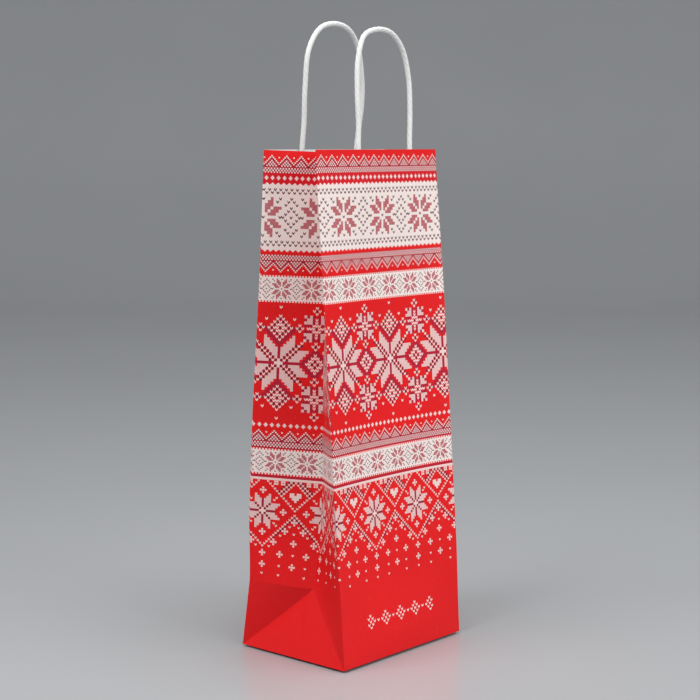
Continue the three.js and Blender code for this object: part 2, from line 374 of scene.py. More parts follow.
def ruled(side, v_edge, v_crease, wall, columns, u_edge, u_crease, bulge):
    """A row of a gusset half, from the creased edge at the wall to the side crease."""
    turn = edge_turn(v_edge)
    start = edge_point(side, v_edge, wall, turn)
    end = crease_point(side, v_crease)
    calm = smoothstep(FOLD_LENGTH, FOLD_LENGTH + 30 * MM, v_crease)
    along = end - start
    outward = gusset_outward(start, end, side)
    row = []
    for t in steps(columns):
        v = lerp(v_edge, v_crease, t)
        wave = ripple(t * 50 * MM + 10 * MM, v, side * 5.3 + (2 if wall == "front" else 6), 0.5 * MM)
        lift = (bulge + wave * calm) * math.sin(math.pi * t)
        printed_v = v + slip(v) * (1 if wall == "back" else t)
        row.append((start + along * t + outward * lift, (lerp(u_edge, u_crease, t), printed_v)))
    return row


def gusset_u(side, from_front):
    """Across the flat sheet: the left gusset runs below 0, the right one beyond the front panel."""
    return -from_front if side < 0 else 2 * HALF_WIDTH + from_front


GUSSET_ROWS = 80
FRONT_HALF_COLUMNS = 40
BACK_HALF_COLUMNS = 24


def gusset_front_sheet(side, name):
    """The gusset's front half with the base triangle under it."""
    sheet = Sheet(name)
    columns = FRONT_HALF_COLUMNS
    u_edge, u_crease = gusset_u(side, 0), gusset_u(side, HALF_DEPTH)
    grid = []
    for s in steps(GUSSET_ROWS):
        bulge = 0.8 * MM * math.sin(math.pi * s)
        v_edge = s * PANEL_LENGTH
        v_crease = lerp(FOLD_LENGTH, PANEL_LENGTH, s)
        grid.append(ruled(side, v_edge, v_crease, "front", columns, u_edge, u_crease, bulge))
    sheet.add_grid(grid)
    sheet.add_grid(base_triangle(side, grid[0][0][0], grid[0][-1][0], columns))
    return sheet


def base_triangle(side, front_corner, apex, columns):
    """Rows from the base fold up to the triangle's tip; a short crimp runs up its middle."""
    grid = []
    for s in steps(columns):
        start, end = front_corner.lerp(apex, s), back_hypotenuse(side, s)
        reach = HALF_DEPTH * (1 - s)
        row = []
        for t in steps(columns):
            swell = 1.0 * MM * math.sin(math.pi * s) * math.sin(math.pi * t)
            crimp = 0.5 * MM * math.exp(-((t - 0.47 - 0.1 * s) / 0.035) ** 2)
            crimp *= smoothstep(0.12, 0.35, s) * (1 - smoothstep(0.5, 0.72, s))
            place = start.lerp(end, t) + Vector((side * (swell - crimp), 0, 0))
            u = gusset_u(side, lerp(HALF_DEPTH - reach, HALF_DEPTH + reach, t))
            row.append((place, (u, s * FOLD_LENGTH)))
        grid.append(row)
    return grid


def gusset_back_sheet(side, name):
    sheet = Sheet(name)
    u_edge, u_crease = gusset_u(side, 2 * HALF_DEPTH), gusset_u(side, HALF_DEPTH)
    grid = []
    for s in steps(GUSSET_ROWS):
        v = lerp(FOLD_LENGTH, PANEL_LENGTH, s)
        bulge = 0.6 * MM * math.sin(math.pi * s) + KINK * (1 - smoothstep(0, 0.13, s))
        grid.append(ruled(side, v, v, "back", BACK_HALF_COLUMNS, u_edge, u_crease, bulge))
    sheet.add_grid(grid)
    return sheet


def gusset_fold_sheet(side, name):
    """The small triangle between the base triangle and the back panel's cross fold."""
    sheet = Sheet(name)
    grid = []
    for s in steps(BACK_HALF_COLUMNS):
        v = s * FOLD_LENGTH
        start = edge_point(side, v, "back", edge_turn(v))
        end = back_hypotenuse(side, s)
        outward = gusset_outward(start, end, side) if s else Vector((side, 0, 0))
        u_start = gusset_u(side, 2 * HALF_DEPTH)
        u_end = gusset_u(side, lerp(2 * HALF_DEPTH, HALF_DEPTH, s))
        row = []
        for t in steps(BACK_HALF_COLUMNS):
            kink = KINK * s ** 3 * math.sin(math.pi * t)
            row.append((start.lerp(end, t) + outward * kink, (lerp(u_start, u_end, t), v)))
        grid.append(row)
    sheet.add_grid(grid)
    return sheet


# ---------------------------------------------------------------- materials


class Value:
    """A number that varies over a surface: a node socket that takes Python arithmetic."""

    tree = None

    def __init__(self, socket):
        self.socket = socket

    def __add__(self, other):
        return math_node("ADD", self, other)

    def __sub__(self, other):
        return math_node("SUBTRACT", self, other)

    def __rsub__(self, other):
        return math_node("SUBTRACT", other, self)

    def __mul__(self, other):
        return math_node("MULTIPLY", self, other)

    __and__ = __mul__

    def __truediv__(self, other):
        return math_node("DIVIDE", self, other)

    def __or__(self, other):
        return math_node("MAXIMUM", self, other)

    def __invert__(self):
        return math_node("SUBTRACT", 1.0, self)

    def __abs__(self):
        return math_node("ABSOLUTE", self)

    def __lt__(self, other):
        return math_node("LESS_THAN", self, other)

    def __gt__(self, other):
        return math_node("GREATER_THAN", self, other)

    def least(self, other):
        return math_node("MINIMUM", self, other)

    def most(self, other):
        return math_node("MAXIMUM", self, other)

    def whole(self):
        return math_node("FLOOR", self + 0.5)

    def wrapped(self, period):
        return math_node("WRAP", self, period / 2, -period / 2)

    def within(self, low, high):
        return math_node("COMPARE", self, (low + high) / 2, (high - low) / 2)

    def between(self, low, high):
        """For whole numbers: 1 from low to high, both counted."""
        return self.within(low - 0.3, high + 0.3)

    def is_(self, number):
        return self.between(number, number)

    def odd(self):
        return math_node("MODULO", abs(self), 2.0) > 0.5

    def soft(self, low, high):
        """0 at low and 1 at high, smooth between them; low may be the larger number."""
        made = Value.tree.nodes.new("ShaderNodeMapRange")
        made.interpolation_type = "SMOOTHSTEP"
        Value.tree.links.new(self.socket, made.inputs["Value"])
        flip = low > high
        made.inputs["From Min"].default_value = min(low, high)
        made.inputs["From Max"].default_value = max(low, high)
        made.inputs["To Min"].default_value = 1.0 if flip else 0.0
        made.inputs["To Max"].default_value = 0.0 if flip else 1.0
        return Value(made.outputs[0])


def math_node(operation, *terms):
    made = Value.tree.nodes.new("ShaderNodeMath")
    made.operation = operation
    for pin, term in zip(made.inputs, terms):
        if isinstance(term, Value):
            Value.tree.links.new(term.socket, pin)
        else:
            pin.default_value = term
    return Value(made.outputs[0])


def any_of(*masks):
    result = masks[0]
    for mask in masks[1:]:
        result = result | mask
    return result


class Stitches:
    """Knitted stitches on a lattice, counted from the middle of a motif that repeats across."""

    def __init__(self, u, v, width, height, middle_u, middle_v, period, bold=0.0):
        across = ((u - middle_u) / width).wrapped(period)
        up = (v - middle_v) / height
        column = across.whole()
        row = up.whole()
        x = abs(across - column)
        y = up - row
        self.i = abs(column)
        self.j = row
        self.across = across
        self.up = up
        self.arm = (abs(y - (x * 1.15 - 0.3))).soft(0.34 + bold, 0.20 + bold)
        turn = 4 * math.pi
        waves = math_node("COSINE", x * turn) * math_node("COSINE", y * turn)
        self.speck = waves.soft(0.1, 0.7)
        self.pip = x.most(abs(y)).soft(0.47, 0.36)


def diamond(steps_away, *rings):
    return any_of(*[steps_away.is_(ring) for ring in rings])


# The print, in millimetres on the flat sheet: u from the front panel's left edge, v from the
# base fold. Ink is 0 to 1.
PANEL_WIDTH = 130.0
GUSSET_WIDTH = 100.0
WIDE_STITCH = 2.08
FINE_STITCH = 1.12
RIM_TRIM = 348.6
UPPER_TRIM = 283.8
LOWER_TRIM = 154.5
GUSSET_STARS = 7.2  # how far the gussets' big stars stand from the walls' rhythm
GUSSET_HEARTS = 2.0
THIN_WHITE = 0.86  # on the red fields a little red shows through the white


def trim_band(u, v, line, way, middle_u, width):
    """A zigzag with dots and small checkered triangles, a dark line and a checkered band."""
    rise = (v - line) * way
    cells = Stitches(u, rise, width, 1.14, middle_u, 1.8, 10, 0.16)
    i, j = cells.i, cells.j
    steps_out = i + j
    even = ~steps_out.odd()
    zigzag = steps_out.is_(5) & j.between(0, 5)
    dot = i.is_(5) & j.is_(4)
    triangle = steps_out.between(-2, 2) & j.between(-1, 2)
    white = any_of(zigzag, dot, triangle & even) & cells.arm
    gap = steps_out.between(3, 4) & j.between(-1, 4)
    dark = any_of(triangle * 0.55, steps_out.is_(4) & gap * 0.6, gap * 0.3)
    checks = Stitches(u, rise, width, 1.25, middle_u, -2.45, 10, 0.16)
    checked = checks.j.between(-1, 1)
    light = checked & (checks.i + checks.j).odd()
    white = white | (light & checks.arm)
    dark = any_of(dark, rise.within(-0.30, 0.45) * 0.7, checked * 0.5)
    return white, dark


def diamond_row(u, v, middle_u, middle_v, pitch):
    across = abs((u - middle_u).wrapped(pitch))
    up = abs(v - middle_v)
    return (across / 1.62 + up / 1.75).soft(1.08, 0.86)


def star_band(u, v, width, height, middle_u, middle_v, wide=False):
    """
    A white band with eight-pointed stars and lozenges knitted in it; the wide one has a
    checkered row and teeth along both edges. Gives white and dark.
    """
    cells = Stitches(u, v, width, height, middle_u, middle_v, 20, 0.03 if wide else 0.08)
    i, j = cells.i, abs(cells.j)
    a, b = i.most(j), i.least(j)
    petals = b.between(1, 3) & (a - b).between(1, 3)
    corners = (a - b).is_(0) & a.between(5, 6)
    tips = (a.is_(6) | a.is_(0)) & b.is_(0)
    k = abs(i - 10)
    away = k + j
    lozenge = away.is_(0) | away.is_(3) | (away.is_(6) & k.between(0, 2) & j.between(4, 6))
    single = any_of(corners, tips, lozenge)
    if wide:
        single = single | (j.is_(8) & i.odd()) | (j.is_(9) & ~i.odd())
        tooth = abs(abs(cells.across).wrapped(2.0))
        inside = (abs(cells.up) - (tooth * 0.8 + 10.5)) < 0.0
    else:
        inside = j.between(0, 7) | (j.is_(8) & ~i.odd())
    petal_ink = petals & ~(cells.speck * 0.75)
    single_ink = single & cells.arm
    hollow = (1 - cells.arm) * 0.06
    white = inside & ~any_of(petal_ink, single_ink, hollow)
    return white, inside & ((petals * 0.5) | single_ink)


def star_field(u, v):
    """The big stars with lattice diamonds and snowflakes between them."""
    cells = Stitches(u, v, WIDE_STITCH, WIDE_STITCH * 1.01, 71.8, 211.3, 26, 0.07)
    i, j = cells.i, abs(cells.j)
    side_petals = j.between(1, 4) & (i - j).between(3, 6)
    tall_petals = i.between(1, 5) & (j - i).between(1, 4)
    spokes = (i - j).is_(1) & j.between(0, 8)
    cross = (i + j).between(0, 1)
    spoke_dark = ((i - j).is_(0) | (i - j).is_(2)) & j.between(1, 6)
    axis_dark = (i.is_(0) & j.between(2, 6)) | (j.is_(0) & i.between(2, 9))

    top = i + abs(j - 12)
    lattice = diamond(top, 1, 2, 4)
    lattice_dark = diamond(top, 0, 3)
    lattice_edge = diamond(top, 5, 6) & (j < 12.5)
    small = (abs(i - 7) + abs(j - 12)).is_(1)
    small_dark = (abs(i - 7) + abs(j - 12)).is_(0)
    singles = (i.is_(5) & j.is_(15)) | (i.is_(0) & j.is_(19))

    k = abs(i - 13)
    side = k + j
    side_white = side.is_(0) | side.between(2, 3)
    m = abs(j - 12)
    flake = k.most(m)
    inner = k.least(m)
    flake_arms = flake.is_(1) | (inner.is_(0) & flake.between(2, 3))
    flake_leaves = any_of(
        inner.is_(2) & flake.between(2, 4), inner.is_(3) & flake.is_(3), inner.is_(4) & flake.is_(4)
    )
    flake_dark = (inner.is_(1) & flake.between(2, 4)) | (inner.is_(3) & flake.is_(4))
    near = abs(m - 6)
    loose = (k + near).is_(1)
    loose_dark = (k + near).is_(0)

    leaves = any_of(side_petals, tall_petals, flake_leaves)
    woven = leaves & ~(cells.speck * 0.9)
    single = any_of(spokes, lattice, small, singles, side_white, loose, flake_arms)
    white = any_of(woven, cross, single & cells.arm)
    outline = any_of(axis_dark, lattice_edge, side.between(4, 5), flake_dark)
    pips = any_of(spoke_dark, lattice_dark, small_dark, side.is_(1), flake.is_(0), loose_dark)
    return white, any_of(outline * 0.45, pips & cells.pip * 0.85, leaves & cells.speck * 0.35)


def heart_field(u, v):
    """Hearts in checkered diamonds, eight-pointed stars, zigzags and small crosses."""
    cells = Stitches(u, v, 1.64, 1.695, 67.8, 103.2, 28, 0.07)
    i, j = cells.i, cells.j
    heart = any_of(
        j.is_(8) & i.between(1, 2), j.is_(7) & i.between(0, 2),
        j.is_(6) & i.between(0, 1), j.is_(5) & i.is_(0),
    )
    lower_v = (j - i).is_(1) & i.between(0, 12)
    upper_v = (j + i).is_(13) & i.between(0, 6)
    checker = (j + i).between(13, 16) & ((j - i) > 0.5) & j.between(1, 13)
    odd = (i + j).odd()
    block = j.between(12, 13) & (i.between(5, 6) | i.between(8, 9))
    zigzag = (j + i).is_(-1)
    zigzag_dark = (j + i).is_(-2) & i.between(0, 9)
    trail = (j + i).is_(-4)
    cross_at = [(0, -4), (4, -8), (9, -13), (14, -18), (0, -13), (6, -18), (0, -23), (14, -23), (5, 0)]
    crosses = any_of(*[(abs(i - a) + abs(j - b)).between(0, 1) for a, b in cross_at])
    dots = trail & any_of(i.is_(2), i.is_(6), i.is_(11))
    low_dots = any_of(
        i.is_(0) & (j.is_(-9) | j.is_(-18)), i.is_(6) & (j.is_(-23) | j.is_(-27)),
        i.is_(14) & j.is_(-27),
    )
    k = abs(i - 14)
    m = abs(j)
    a, b = k.most(m), k.least(m)
    petals = b.between(1, 3) & (a - b).between(1, 4)
    seeds = (a - b).is_(0) & a.between(1, 3)
    hub = (k + m).between(0, 1)
    corner = (a - b).is_(0) & a.between(5, 6)
    star_cross = (k + abs(m - 9)).between(0, 1)
    axis_dark = b.is_(0) & a.between(2, 5)
    edge_row = j.is_(14)

    woven = petals & ~(cells.speck * 0.9)
    lines = any_of(lower_v, upper_v, checker & odd, zigzag, dots, low_dots, corner)
    squares = any_of(crosses, star_cross, block)
    white = any_of(woven, heart, hub, edge_row, squares & cells.pip, lines & cells.arm)
    pips = any_of(checker & ~odd, zigzag_dark, seeds) & cells.pip
    window = v.within(55.0, 127.9)
    dark = any_of(axis_dark * 0.6, pips * 0.9, petals & cells.speck * 0.35)
    return white & window, dark & window


def greeting_rows(u, v):
    """A plain ornament of stitched diamonds low on the front panel, where cards carry a greeting."""
    middle = PANEL_WIDTH / 2
    cells = Stitches(u, v, WIDE_STITCH, WIDE_STITCH, middle, 28.0, 8)
    away = cells.i + abs(cells.j)
    ring = (away.is_(0) | away.is_(2)) & v.within(20.0, 36.0)
    dot = cells.i.is_(4) & cells.j.is_(0)
    return (ring | dot) & cells.arm & (abs(u - middle) < 36.4)


def clipped(layer, window):
    """A layer's white and dark ink, inside the window only."""
    white, dark = layer
    return white & window, dark & window


def knit_print(u, v):
    """How much white and how much dark red ink the print has at (u, v), in millimetres."""
    on_front = u.within(0.0, PANEL_WIDTH)
    on_left = u.within(-2 * HALF_DEPTH / MM, 0.0)
    on_right = u.within(PANEL_WIDTH, PANEL_WIDTH + GUSSET_WIDTH)
    on_gusset = on_left | on_right
    stars = clipped(star_field(u - on_gusset * GUSSET_STARS, v), v.within(168.6, 254.2))
    hearts = heart_field(u - on_gusset * GUSSET_HEARTS, v)
    diamonds = any_of(
        diamond_row(u, v, 5.6, 340.8, 4.5) & v.within(338.6, 343.2),
        diamond_row(u, v, 3.4, 166.2, 4.48) & v.within(164.0, 168.4),
    )
    whites, darks = zip(
        clipped(trim_band(u, v, RIM_TRIM, 1, 4.6, 1.10), v > RIM_TRIM - 5.0),
        clipped(trim_band(u, v, UPPER_TRIM, -1, 4.6, FINE_STITCH),
                v.within(UPPER_TRIM - 10.0, UPPER_TRIM + 4.8)),
        clipped(trim_band(u, v, LOWER_TRIM, 1, 5.2, FINE_STITCH),
                v.within(LOWER_TRIM - 4.3, LOWER_TRIM + 9.3)),
        star_band(u, v, WIDE_STITCH, 2.1, 67.0, 313.9, wide=True),
        star_band(u, v, FINE_STITCH, FINE_STITCH, 6.0, 264.1),
        star_band(u, v, FINE_STITCH, FINE_STITCH, 6.6, 139.5),
        (stars[0] * THIN_WHITE, stars[1]),
        (hearts[0] * THIN_WHITE, hearts[1]),
    )
    stripes = v.within(127.9, 129.6) | v.within(149.2, 150.6)
    shade = v.within(336.0, 344.0)
    white = any_of(*whites, diamonds * THIN_WHITE, greeting_rows(u, v) & on_front)
    dark = any_of(*darks, stripes * 0.4, shade * 0.15)
    return white, dark


def new_material(name):
    material = bpy.data.materials.new(name)
    material.use_nodes = True
    tree = material.node_tree
    shader = tree.nodes["Principled BSDF"]
    Value.tree = tree
    return material, tree, shader


def node(tree, kind, **settings):
    made = tree.nodes.new(kind)
    for key, value in settings.items():
        setattr(made, key, value)
    return made


def noise_value(tree, coordinates, scale, detail=3.0, roughness=0.55):
    """Noise from 0 to 1; scale is in waves to the metre."""
    texture = node(tree, "ShaderNodeTexNoise")
    texture.inputs["Scale"].default_value = scale
    texture.inputs["Detail"].default_value = detail
    texture.inputs["Roughness"].default_value = roughness
    tree.links.new(coordinates, texture.inputs["Vector"])
    return Value(texture.outputs["Fac"])


def mix_colour(tree, share, low, high):
    mix = node(tree, "ShaderNodeMix", data_type="RGBA")
    tree.links.new(share.socket, mix.inputs["Factor"])
    for pin, term in ((mix.inputs["A"], low), (mix.inputs["B"], high)):
        if isinstance(term, bpy.types.NodeSocket):
            tree.links.new(term, pin)
        else:
            pin.default_value = (*term, 1.0)
    return mix.outputs["Result"]


def bump(tree, height, distance, strength=1.0, normal=None):
    made = node(tree, "ShaderNodeBump")
    made.inputs["Distance"].default_value = distance
    made.inputs["Strength"].default_value = strength
    tree.links.new(height.socket, made.inputs["Height"])
    if normal is not None:
        tree.links.new(normal, made.inputs["Normal"])
    return made.outputs["Normal"]


def surface_place(tree):
    """The place on the piece itself, in metres."""
    return node(tree, "ShaderNodeTexCoord").outputs["Object"]


RED = (0.77, 0.006, 0.008)
CRIMSON = (0.40, 0.008, 0.036)
DARK_MAUVE = (0.075, 0.014, 0.028)
WARM_WHITE = (0.85, 0.75, 0.71)
PAPER_WHITE = (0.82, 0.81, 0.79)


def darker(colour, share):
    return tuple(part * share for part in colour)


def printed_paper():
    """Smooth coated paper with a knitted pattern printed on it."""
    material, tree, shader = new_material("printed_paper")
    sheet = node(tree, "ShaderNodeUVMap", uv_map="sheet")
    parts = node(tree, "ShaderNodeSeparateXYZ")
    tree.links.new(sheet.outputs["UV"], parts.inputs[0])
    u = Value(parts.outputs[0]) * 1000.0
    v = Value(parts.outputs[1]) * 1000.0
    white, dark = knit_print(u, v)
    place = surface_place(tree)
    cloud = noise_value(tree, place, 9.0, 2.0)
    fibre = noise_value(tree, place, 900.0, 4.0, 0.6)
    red = mix_colour(tree, cloud.soft(0.3, 0.7), RED, darker(RED, 0.93))
    inked = mix_colour(tree, (dark * 2.0).least(1.0), red, CRIMSON)
    inked = mix_colour(tree, (dark * 2.0 - 1.0).most(0.0), inked, DARK_MAUVE)
    colour = mix_colour(tree, white, inked, WARM_WHITE)
    speck = mix_colour(tree, fibre.soft(0.60, 0.78) * 0.10, colour, PAPER_WHITE)
    tree.links.new(speck, shader.inputs["Base Color"])
    roughness = fibre * 0.10 + 0.42 + white * 0.05
    tree.links.new(roughness.socket, shader.inputs["Roughness"])
    shader.inputs["Specular IOR Level"].default_value = 0.22
    coarse = noise_value(tree, place, 60.0, 3.0, 0.5)
    normal = bump(tree, coarse, 0.00025, 0.5)
    normal = bump(tree, fibre, 0.00003, 0.5, normal)
    tree.links.new(normal, shader.inputs["Normal"])
    return material


def plain_paper():
    """The white uncoated side of the sheet, and its cut edges."""
    material, tree, shader = new_material("plain_paper")
    place = surface_place(tree)
    cloud = noise_value(tree, place, 25.0, 3.0)
    fibre = noise_value(tree, place, 1400.0, 5.0, 0.65)
    colour = mix_colour(tree, cloud.soft(0.25, 0.75), PAPER_WHITE, darker(PAPER_WHITE, 0.965))
    shade = mix_colour(tree, fibre.soft(0.35, 0.8) * 0.22, colour, (0.70, 0.68, 0.64))
    tree.links.new(shade, shader.inputs["Base Color"])
    tree.links.new((fibre * 0.15 + 0.72).socket, shader.inputs["Roughness"])
    normal = bump(tree, fibre, 0.00005, 0.7)
    tree.links.new(normal, shader.inputs["Normal"])
    return material


def twisted_paper():
    """White kraft paper twisted into cord, with painted shade in the grooves between its ridges."""
    material, tree, shader = new_material("twisted_paper")
    place = surface_place(tree)
    fibre = noise_value(tree, place, 1100.0, 4.0, 0.6)
    cloud = noise_value(tree, place, 120.0, 3.0)
    # Painted shade: where Pointiness finds the grooves between the ridges, the cord's colour goes to a
    # darker grey.
    hollow = Value(node(tree, "ShaderNodeNewGeometry").outputs["Pointiness"]).soft(0.40, 0.52)
    colour = mix_colour(tree, hollow, (0.42, 0.41, 0.40), (0.70, 0.70, 0.69))
    colour = mix_colour(tree, cloud.soft(0.35, 0.7) * 0.35, colour, (0.61, 0.60, 0.58))
    tree.links.new(colour, shader.inputs["Base Color"])
    tree.links.new((fibre * 0.2 + 0.6).socket, shader.inputs["Roughness"])
    normal = bump(tree, cloud, 0.0003, 0.6)
    normal = bump(tree, fibre, 0.00008, 0.8, normal)
    tree.links.new(normal, shader.inputs["Normal"])
    return material


def studio_floor():
    material, tree, shader = new_material("studio_floor")
    place = surface_place(tree)
    cloud = noise_value(tree, place, 3.0, 2.0)
    colour = mix_colour(tree, cloud, (0.36, 0.37, 0.38), (0.39, 0.40, 0.41))
    tree.links.new(colour, shader.inputs["Base Color"])
    shader.inputs["Roughness"].default_value = 0.28
    return material


# ---------------------------------------------------------------- pieces


def build_body(printed, plain):
    skins = [printed, plain]
    front = panel_sheet("front_sheet", "front", levels(FOLD_RADIUS, PANEL_LENGTH, FRONT_ROWS), skins)
    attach(front, "front_wall")
    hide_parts("front_panel")
    crease = 0.3 * MM
    back_levels = levels(FOLD_RADIUS, FOLD_LENGTH - crease, LOWER_BACK_ROWS)
    back_levels += levels(FOLD_LENGTH + crease, PANEL_LENGTH, UPPER_BACK_ROWS)
    back = panel_sheet("back_sheet", "back", back_levels, skins)
    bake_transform(back)
    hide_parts("back_panel_lower", "back_panel_upper")
    for side, name in ((-1, "left"), (1, "right")):
        flip = side > 0
        sheet = gusset_front_sheet(side, f"{name}_gusset_front_sheet")
        piece = sheet.finish(skins, flip=not flip)
        crease_y = crease_point(side, PANEL_LENGTH).y
        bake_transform(piece)
        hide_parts(f"{name}_gusset_front_half", f"{name}_gusset_base_triangle")
        piece = gusset_back_sheet(side, f"{name}_gusset_back_sheet").finish(skins, flip=flip)
        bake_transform(piece)
        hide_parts(f"{name}_gusset_back_half")
        piece = gusset_fold_sheet(side, f"{name}_gusset_fold_sheet").finish(skins, flip=flip)
        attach(piece, "root")
        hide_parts(f"{name}_gusset_fold_triangle")


LAYER = PAPER + 0.3 * MM  # each further layer of the base lies this much higher
END_INSET = 1.8 * MM  # the end flaps start this far inside the base's edges
FLAP_COLUMNS = 40
FLAP_ROWS = 20


def lay(x, y):
    """The unevenness of glued flaps."""
    return 0.12 * MM * (1 + noise.noise(Vector((x * 40, y * 40, 5.5))))


def flat_grid(x_low, x_high, y_low, y_high, height_at, u_of, v_of):
    """A rectangle of the base, with functions for its height and its place on the sheet."""
    grid = []
    for t in steps(FLAP_ROWS):
        y = lerp(y_low, y_high, t)
        row = []
        for s in steps(FLAP_COLUMNS):
            x = lerp(x_low, x_high, s)
            row.append((Vector((x, y, height_at(x, y))), (u_of(x), v_of(y))))
        grid.append(row)
    return grid


def build_base(printed, plain):
    """The glued block bottom: the front flap over the back flap, and the end flaps above them."""
    skins = [printed, plain]
    inset = 0.5 * MM
    wide = HALF_WIDTH - inset
    deep = HALF_DEPTH - FOLD_RADIUS
    sheet = Sheet("base_back_sheet")
    grid = flat_grid(-wide, wide, -FLAP_LAP, deep, lay, BACK_U, lambda y: y - HALF_DEPTH)
    back = sheet.add_grid(grid).finish(skins, flip=True)
    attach(back, "root")
    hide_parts("base_back_flap")

    def climb(x, y):
        return lay(x, y) + LAYER * smoothstep(-FLAP_LAP - 3 * MM, -FLAP_LAP - 0.2 * MM, y)

    sheet = Sheet("base_front_sheet")
    grid = flat_grid(-wide, wide, -deep, FLAP_LAP, climb, FRONT_U, lambda y: -y - HALF_DEPTH)
    front = sheet.add_grid(grid).finish(skins, flip=True)
    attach(front, "root")
    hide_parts("base_front_flap")

    for side, name in ((-1, "left"), (1, "right")):
        grid = end_flap_grid(side, wide - END_INSET, deep - END_INSET)
        piece = Sheet(f"base_{name}_end_sheet").add_grid(grid).finish([plain], flip=side < 0)
        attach(piece, "root")
        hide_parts(f"base_{name}_end_flap")


def end_flap_grid(side, root, reach):
    """A triangle that lies on both base flaps, from the gusset's base fold inwards."""
    level = 2 * LAYER + 0.3 * MM
    grid = []
    for s in steps(FLAP_ROWS):
        x = side * (root - reach * s)
        half = reach * (1 - s)
        row = []
        for t in steps(FLAP_ROWS):
            place = Vector((x, lerp(-half, half, t), level + lay(x, t * 0.05)))
            u = gusset_u(side, lerp(HALF_DEPTH - half, HALF_DEPTH + half, t))
            row.append((place, (u, -s * reach)))
        grid.append(row)
    return grid


PATCH_COLUMNS = 110
PATCH_ROWS = 40
PATCH_RISE = 4.4 * MM  # of the cover sheet, over a cord


def build_patch(wall, plain):
    """The two glued sheets that hold the cord ends behind the rim."""
    point = front_point if wall == "front" else back_point
    legs = FRONT_LEGS if wall == "front" else BACK_LEGS
    middle = sum(legs) / 2
    left, right = middle - PATCH_WIDTH / 2, middle + PATCH_WIDTH / 2
    top = PANEL_LENGTH - PATCH_DROP
    bottom = top - PATCH_HEIGHT

    def lift(x, v):
        """The cover sheet rises over the cords, and wrinkles a little."""
        end = PANEL_LENGTH - GRIP_LENGTH
        along = smoothstep(end - 7 * MM, end + 1 * MM, v)
        height = 0
        for leg in legs:
            off = abs(x - leg)
            height = max(height, PATCH_RISE * (1 - smoothstep(1.5 * MM, 5.2 * MM, off)))
        wrinkle = 0.18 * MM * noise.noise(Vector((x * 260, v * 90, 4.2)))
        return height * along + wrinkle * smoothstep(0, 3 * MM, min(x - left, right - x))

    for kind, behind, raised in (("backing", 0.45 * MM, False), ("cover", 1.0 * MM, True)):
        sheet = Sheet(f"{wall}_patch_{kind}_sheet")
        grid = []
        for t in steps(PATCH_ROWS):
            v = lerp(bottom, top, t)
            row = []
            for s in steps(PATCH_COLUMNS):
                x = lerp(left, right, s)
                depth = behind + (max(0, lift(x, v)) if raised else 0)
                row.append((point(x, v, depth), (x, v)))
            grid.append(row)
        sheet.add_grid(grid)
        piece = sheet.finish([plain], thickness=0.2 * MM, flip=wall == "back")
        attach(piece, f"{wall}_wall")
        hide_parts(f"{wall}_patch_{kind}")


LAP_DEPTH = 0.5 * MM  # the lap lies this far inside the back panel's outer face
LAP_THICKNESS = 0.25 * MM


def build_seam(printed, plain):
    """The glued lap that closes the tube, along one edge of the back panel."""
    sheet = Sheet("side_seam_sheet")
    grid = []
    for t in steps(100):
        v = lerp(FOLD_LENGTH + 1 * MM, PANEL_LENGTH - 1 * MM, t)
        row = []
        for s in steps(8):
            x = lerp(seam_low.x, seam_high.x, s)
            row.append((back_point(x, v, LAP_DEPTH), (BACK_U(x), v)))
        grid.append(row)
    sheet.add_grid(grid)
    piece = sheet.finish([printed, plain], thickness=LAP_THICKNESS, flip=True)
    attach(piece, "back_wall")
    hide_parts("side_seam_lap")


def catmull_rom(points, per_span):
    """A smooth curve through the points, with centripetal spacing."""
    first = points[0] * 2 - points[1]
    last = points[-1] * 2 - points[-2]
    chain = [first, *points, last]
    curve = []
    for k in range(1, len(chain) - 2):
        p0, p1, p2, p3 = chain[k - 1:k + 3]
        t0 = 0.0
        t1 = t0 + (p1 - p0).length ** 0.5
        t2 = t1 + (p2 - p1).length ** 0.5
        t3 = t2 + (p3 - p2).length ** 0.5
        for step in range(per_span):
            t = lerp(t1, t2, step / per_span)
            a1 = p0.lerp(p1, (t - t0) / (t1 - t0))
            a2 = p1.lerp(p2, (t - t1) / (t2 - t1))
            a3 = p2.lerp(p3, (t - t2) / (t3 - t2))
            b1 = a1.lerp(a2, (t - t0) / (t2 - t0))
            b2 = a2.lerp(a3, (t - t1) / (t3 - t1))
            curve.append(b1.lerp(b2, (t - t1) / (t2 - t1)))
    curve.append(points[-1].copy())
    return curve


def evenly(points, spacing):
    """Points along the same line at even distances."""
    lengths = [0.0]
    for a, b in zip(points, points[1:]):
        lengths.append(lengths[-1] + (b - a).length)
    count = max(2, round(lengths[-1] / spacing))
    result = []
    k = 0
    for n in range(count + 1):
        target = lengths[-1] * n / count
        while k < len(lengths) - 2 and lengths[k + 1] < target:
            k += 1
        span = lengths[k + 1] - lengths[k]
        result.append(points[k].lerp(points[k + 1], (target - lengths[k]) / span))
    return result


CORD_STEP = 0.55 * MM  # along the cord
CORD_SECTION = 36  # points round the cord
TWIST_PITCH = 10.5 * MM  # the ridges make half a turn in this length
STRAIGHT_BELOW = 12  # millimetres below the rim, from where the glued ends run straight down


def twisted_section(run, centre, across, inward):
    """The points round the cord at this distance along it; four ridges wind round it."""
    twist = math.pi * run / TWIST_PITCH
    ring = []
    for n in range(CORD_SECTION):
        angle = 2 * math.pi * n / CORD_SECTION
        groove = abs(math.sin(2 * angle - 2 * twist)) ** 0.5
        fine = noise.noise(Vector((3 * math.cos(angle - twist), run * 900, angle * 2)))
        radius = CORD_RADIUS * (0.94 + 0.15 * groove + 0.03 * fine)
        ring.append(centre + (across * math.cos(angle) + inward * math.sin(angle)) * radius)
    return ring


